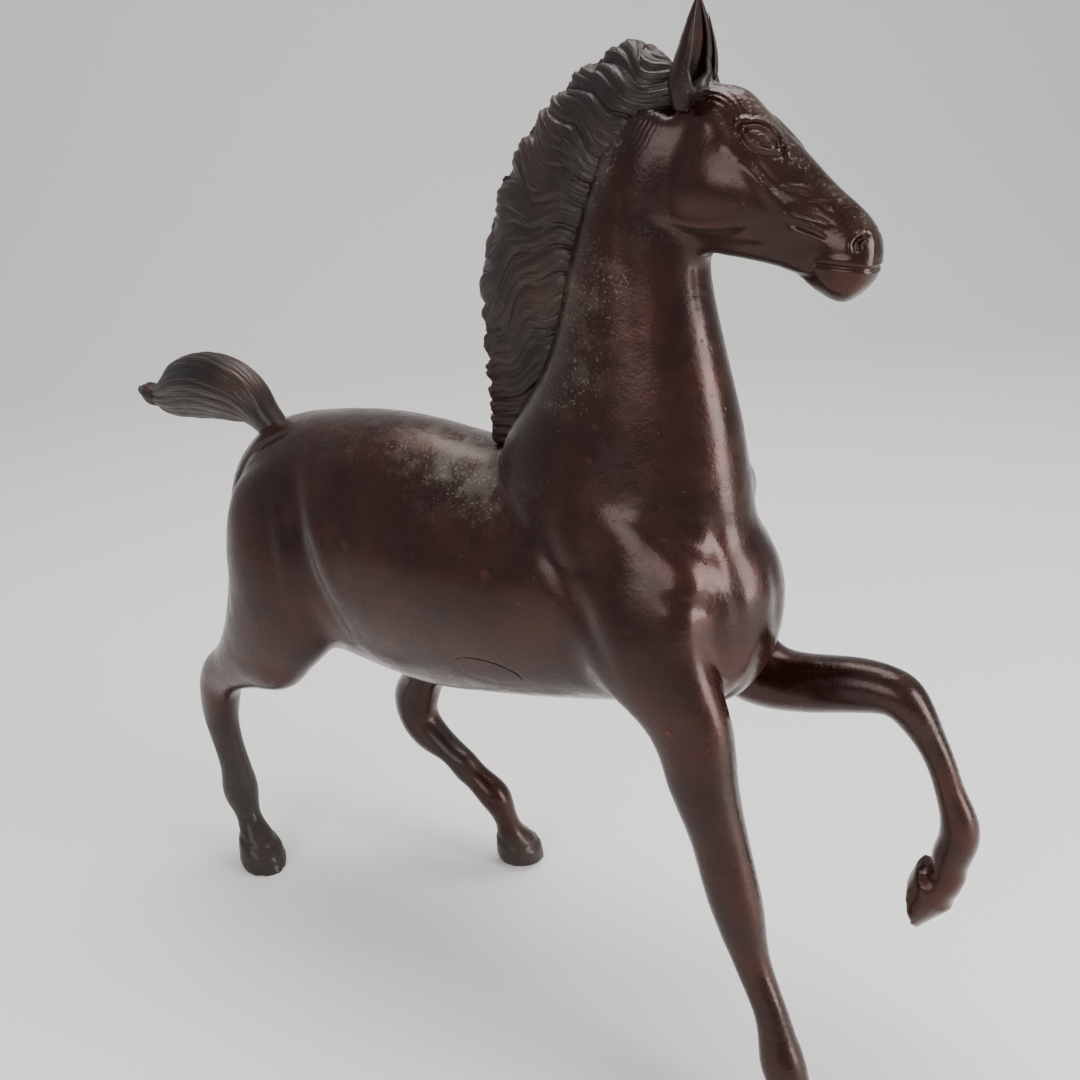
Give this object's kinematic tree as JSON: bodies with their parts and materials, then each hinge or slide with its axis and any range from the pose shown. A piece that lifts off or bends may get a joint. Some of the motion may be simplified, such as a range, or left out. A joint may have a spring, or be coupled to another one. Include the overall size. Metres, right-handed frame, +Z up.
{
  "type": "horse statuette",
  "caption": "Hollow-cast bronze statuette of a prancing horse with one foreleg lifted, mane and tail cast separately; it stands on its hooves.",
  "frame": {"origin": "centre of the bottom of the statue's bounding box, on the plane of the standing soles", "axes": "+X forward, the way the horse faces; +Y towards the horse's left side; +Z up"},
  "size_m": [0.4564, 0.1209, 0.4345],
  "materials": {
    "body_bronze": "polished dark red-brown patina with wax gloss",
    "hair_bronze": "matte black-brown patina, dusty in the grooves",
    "joint_bronze": "bare turned bronze"
  },
  "bodies": {
    "root": {"trunk_casting": "body_bronze", "head_and_neck_casting": "body_bronze", "right_ear": "body_bronze", "left_ear": "body_bronze", "right_foreleg_casting": "body_bronze", "left_foreleg_casting": "body_bronze", "right_hind_leg_casting": "body_bronze", "left_hind_leg_casting": "body_bronze", "core_window_patch": "body_bronze", "core_pin_plugs": "body_bronze", "mane_casting": "hair_bronze", "tail_casting": "hair_bronze", "neck_joint_sleeve": "joint_bronze", "neck_joint_pins": "joint_bronze", "mane_rivets": "joint_bronze", "tail_pin": "joint_bronze", "leg_joint_pins": "joint_bronze"}
  },
  "joints": []
}
